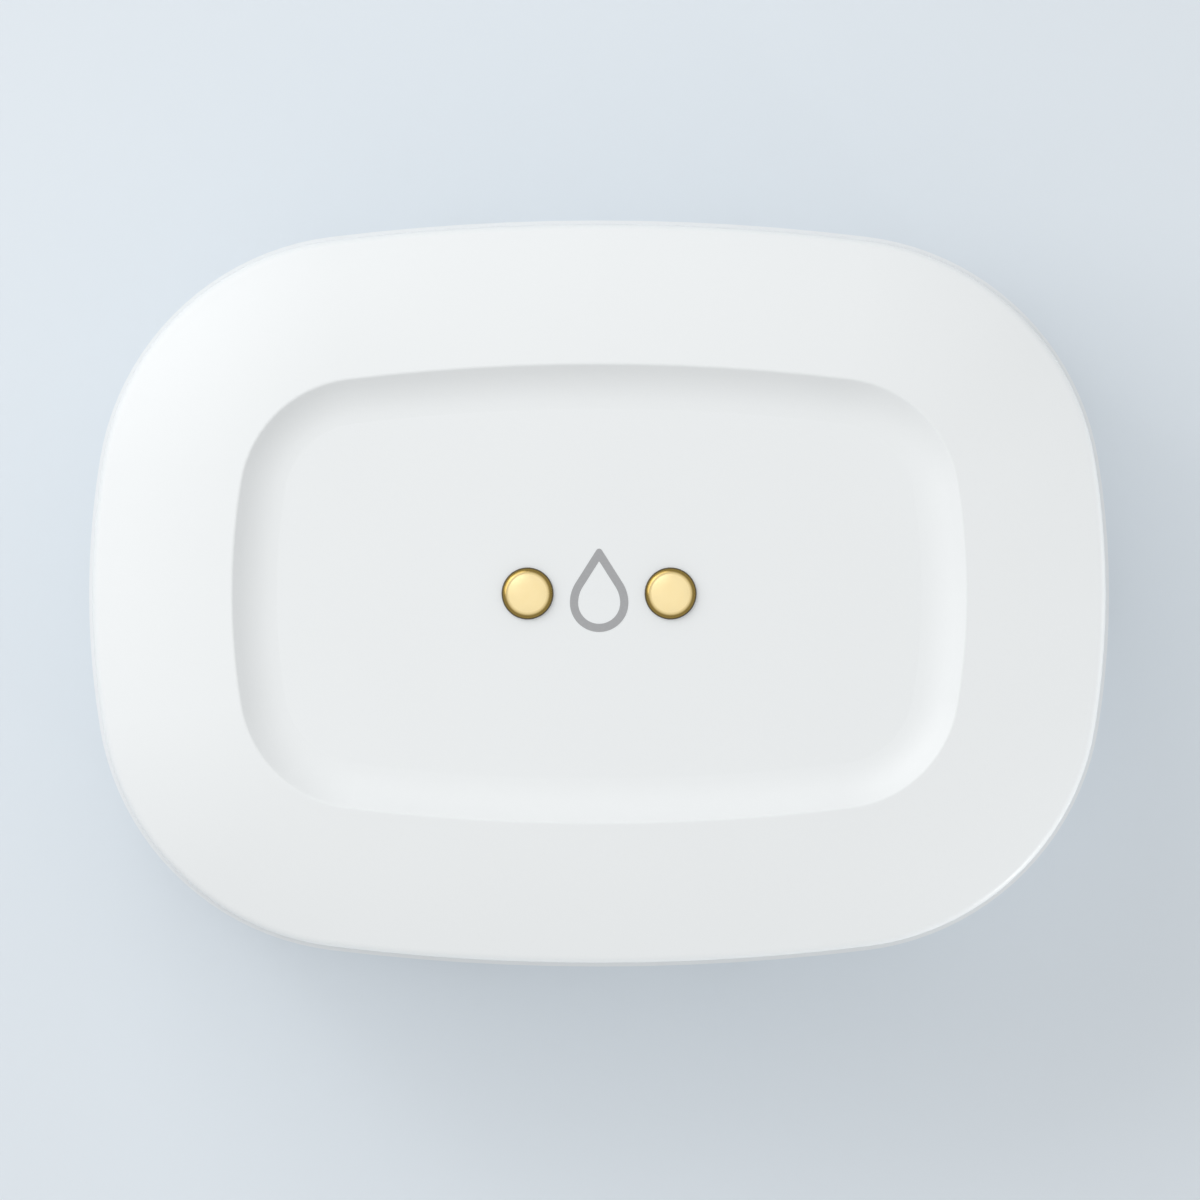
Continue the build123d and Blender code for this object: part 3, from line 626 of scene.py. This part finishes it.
def screws(finish):
    """The screws that close the housing, and those that clamp the board."""
    housing_sizes = {
        "head_radius": 1.8 * MM,
        "head_height": 1.3 * MM,
        "core_radius": 0.62 * MM,
        "thread_depth": 0.23 * MM,
        "length": 8.0 * MM,
        "drive_reach": 1.0 * MM,
        "drive_width": 0.268 * MM,
        "drive_depth": 0.7 * MM,
    }
    board_sizes = {
        "head_radius": 1.4 * MM,
        "head_height": 1.0 * MM,
        "core_radius": 0.54 * MM,
        "thread_depth": 0.2 * MM,
        "length": 4.7 * MM,
        "drive_reach": 0.8 * MM,
        "drive_width": 0.214 * MM,
        "drive_depth": 0.55 * MM,
    }
    set_of_screws("threaded_housing_screws", "housing_screws", finish, True, housing_sizes)
    set_of_screws("threaded_board_screws", "board_screws", finish, False, board_sizes)


def thread_groove():
    """The mesh of a helix to cut from the cap's spigot. It fades to a point at both ends."""
    form = Form(
        "thread_groove",
        radius=CAP_SPIGOT_RADIUS * MM,
        start=3.08 * MM,
        pitch=1.2 * MM,
        turns=0.93,
        depth=0.25 * MM,
        half_width=0.16 * MM,
        fade_rate=14.0,
    )
    sheet, along, around = form.sheet(160, 4)
    corner = around * FULL_TURN + math.pi / 4
    outward = corner.cosine() * math.sqrt(2)
    upward = corner.sine() * math.sqrt(2)
    fade_in = (along * form.size("fade_rate")).share()
    fade = fade_in * ((1.0 - along) * form.size("fade_rate")).share()
    reach = form.size("depth") * outward * fade
    # The groove is wider at its mouth than at its bottom
    flare = form.size("half_width") * upward * (1.35 + outward * 0.35) * fade
    turned = along * form.size("turns")
    rise = form.size("start") + turned * form.size("pitch")
    shape = form.revolve(sheet, turned * -1.0, form.size("radius") + reach, rise + flare)
    return form.mesh(form.weld(shape), None)


def threaded_cap(finish):
    """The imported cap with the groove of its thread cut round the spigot."""
    node = frame["nodes"]["battery_cap"]
    skin = bmesh.new()
    skin.from_mesh(node.data)
    skin.transform(node.matrix_world)
    bmesh.ops.remove_doubles(skin, verts=skin.verts, dist=0.0001 * MM)
    mesh = bpy.data.meshes.new("threaded_cap")
    skin.to_mesh(mesh)
    skin.free()
    groove = thread_groove()
    cutter = bpy.data.objects.new("cutter", groove)
    bpy.context.scene.collection.objects.link(cutter)
    carrier = bpy.data.objects.new("cap_blank", mesh)
    cut = carrier.modifiers.new("cut", "BOOLEAN")
    cut.operation = "DIFFERENCE"
    cut.solver = "EXACT"
    cut.object = cutter
    made = plain_mesh(carrier)
    bpy.data.objects.remove(cutter)
    piece = piece_from(made, "threaded_cap", finish, "cap")
    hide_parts("battery_cap")


def bar(form, length, width, height, corner):
    """A bar along X with rounded long edges, standing on z = 0."""
    sheet, along, around = form.sheet(1, 24)
    turn = around * FULL_TURN
    side = turn.cosine()
    up = turn.sine()
    stretch = abs(side).most(abs(up))
    square_side = side / stretch
    square_up = up / stretch
    place = form.vector(
        (along - 0.5) * length,
        (square_side + (side - square_side) * corner) * width * 0.5,
        (square_up + (up - square_up) * corner) * height * 0.5 + height * 0.5,
    )
    return form.move(sheet, place)


def chip_leads(finish):
    """Gull-wing leads down both long sides of the sense chip."""
    leads_a_side = 4
    low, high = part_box("sense_chip")
    form = Form(
        "chip_leads",
        pitch=1.27 * MM,
        width=0.42 * MM,
        sheet=0.2 * MM,
        shoulder=0.7 * MM,
        shoulder_reach=0.25 * MM,
        drop_reach=0.2 * MM,
        foot_reach=0.6 * MM,
        span=high[1] - low[1] - 0.1 * MM,
        middle_x=(low[0] + high[0]) / 2,
        middle_y=(low[1] + high[1]) / 2,
    )
    sheet, along, around = form.sheet(12, 4)
    first = (along * 3.0).share()
    second = (along * 3.0 - 1.0).share()
    third = (along * 3.0 - 2.0).share()
    level = first * form.size("shoulder_reach") + third * form.size("foot_reach")
    reach = level + second * form.size("drop_reach")
    drop = second * second * (3.0 - second * 2.0)
    corner = around * FULL_TURN + math.pi / 4
    sideways = corner.cosine() * math.sqrt(0.5)
    upward = corner.sine() * math.sqrt(0.5)
    # Halfway down the drop the lead stands upright, so its thickness lies sideways there
    lean = second * (1.0 - second) * 4.0
    place = form.vector(
        sideways * form.size("width"),
        reach + upward * lean * form.size("sheet") * 0.9,
        form.size("shoulder") * (1.0 - drop)
        + form.size("sheet") * 0.5
        + upward * form.size("sheet") * (1.0 - lean * 0.3),
    )
    lead = form.move(sheet, place)
    middle = form.vector(form.size("middle_x"), form.size("middle_y"), BOARD_TOP * MM)
    row = form.size("pitch") * (leads_a_side - 1.0)
    points = form.lattice(row, form.size("span"), leads_a_side, 2, middle)
    spot = form.add("GeometryNodeInputPosition")
    across = form.add("ShaderNodeSeparateXYZ", inputs={"Vector": spot}, output="Y")
    turned = form.vector(z=(form.size("middle_y") > across) * math.pi)
    made = form.mesh(form.repeat(points, lead, turned), finish)
    piece_from(close_ends(made), "chip_leads", finish, "housing")


def close_ends(mesh):
    """Welds a tube's seam and caps its open ends."""
    skin = bmesh.new()
    skin.from_mesh(mesh)
    bmesh.ops.remove_doubles(skin, verts=skin.verts, dist=0.001 * MM)
    open_edges = [edge for edge in skin.edges if edge.is_boundary]
    bmesh.ops.holes_fill(skin, edges=open_edges)
    bmesh.ops.recalc_face_normals(skin, faces=skin.faces)
    skin.to_mesh(mesh)
    skin.free()
    return mesh


def passive_rows(name, finish, length, growth, ends):
    """Two rows of small resistors and capacitors: their bodies, or the metal at both ends."""
    pieces_a_row = 6
    form = Form(
        name,
        length=length * MM,
        width=(0.5 + growth) * MM,
        height=(0.34 + growth) * MM,
        pitch=1.9 * MM,
        row_offset=8.2 * MM,
        end_offset=0.4 * MM,
    )
    piece = bar(form, form.size("length"), form.size("width"), form.size("height"), 0.3)
    if ends:
        pair = form.lattice(form.size("end_offset") * 2.0, 0.0, 2, 1, form.vector())
        piece = form.repeat(pair, piece, form.vector())
    middle = form.vector(z=BOARD_TOP * MM)
    row = form.size("pitch") * (pieces_a_row - 1.0)
    points = form.lattice(row, form.size("row_offset") * 2.0, pieces_a_row, 2, middle)
    made = form.mesh(form.repeat(points, piece, form.vector(z=math.pi / 2)), finish)
    piece_from(close_ends(made), name, finish, "housing")


def studio_plane(name, size, z, material):
    """A flat square under the sensor, which isn't part of it."""
    mesh = bpy.data.meshes.new(name)
    half = size / 2
    corners = [(-half, -half, z), (half, -half, z), (half, half, z), (-half, half, z)]
    mesh.from_pydata(corners, [], [(0, 1, 2, 3)])
    mesh.materials.append(material)
    plane = bpy.data.objects.new(name, mesh)
    bpy.context.scene.collection.objects.link(plane)


def soft_light(name, azimuth, elevation, distance, size, power):
    """A square soft box that looks at the sensor's top, from a direction in degrees."""
    top = Vector((0, 0, 17 * MM))
    lamp = bpy.data.lights.new(name, "AREA")
    lamp.shape = "SQUARE"
    lamp.size = size
    lamp.energy = power
    light = bpy.data.objects.new(name, lamp)
    bpy.context.scene.collection.objects.link(light)
    turn = math.radians(azimuth)
    rise = math.radians(elevation)
    away = Vector((math.cos(rise) * math.cos(turn), math.cos(rise) * math.sin(turn), math.sin(rise)))
    light.location = away * distance + top
    light.rotation_euler = (-away).to_track_quat("-Z", "Y").to_euler()


def studio_world(strength):
    """An even white light from all round."""
    world = bpy.data.worlds.new("surround")
    world.use_nodes = True
    background = world.node_tree.nodes["Background"]
    background.inputs["Color"].default_value = (1.0, 1.0, 1.0, 1.0)
    background.inputs["Strength"].default_value = strength
    bpy.context.scene.world = world


def camera_above():
    """The camera looks straight down from high above, with the long side level."""
    lens = bpy.data.cameras.new("camera")
    lens.sensor_width = 36.0
    view_height = 1.2
    view_width = 63.532 * MM
    middle_x = 0.048 * MM
    middle_y = -0.344 * MM
    lens.lens = lens.sensor_width * (view_height - PARTING * MM) / view_width
    camera = bpy.data.objects.new("camera", lens)
    bpy.context.scene.collection.objects.link(camera)
    camera.location = (middle_x, middle_y, view_height)
    lens.clip_start = 0.1
    lens.clip_end = 10.0
    bpy.context.scene.camera = camera


finishes = make_finishes()
dress_nodes(finishes)
drop_sign(sign_ink("sign_ink"))
screws(finishes["screw_steel"])
threaded_cap(finishes["base_plastic"])
chip_leads(finishes["shield_tin"])
passive_rows("passive_bodies", finishes["ceramic"], length=0.6, growth=0.0, ends=False)
passive_rows("passive_ends", finishes["shield_tin"], length=0.22, growth=0.03, ends=True)

studio_plane("floor", 3.0, -0.02 * MM, studio_floor("floor_paper"))
studio_world(0.572)
soft_light("overhead", 90, 90, 0.783, 1.05, 1.42)
soft_light("rear_key", 120, 40, 0.45, 0.28, 0.365)
soft_light("left_key", 155, 35, 0.3, 0.2, 0.24)
soft_light("rim_light", 315, -1, 0.35, 0.02, 0.37)
soft_light("end_light", 0, -1, 0.35, 0.02, 0.11)
camera_above()
bpy.context.scene.view_settings.view_transform = "Standard"
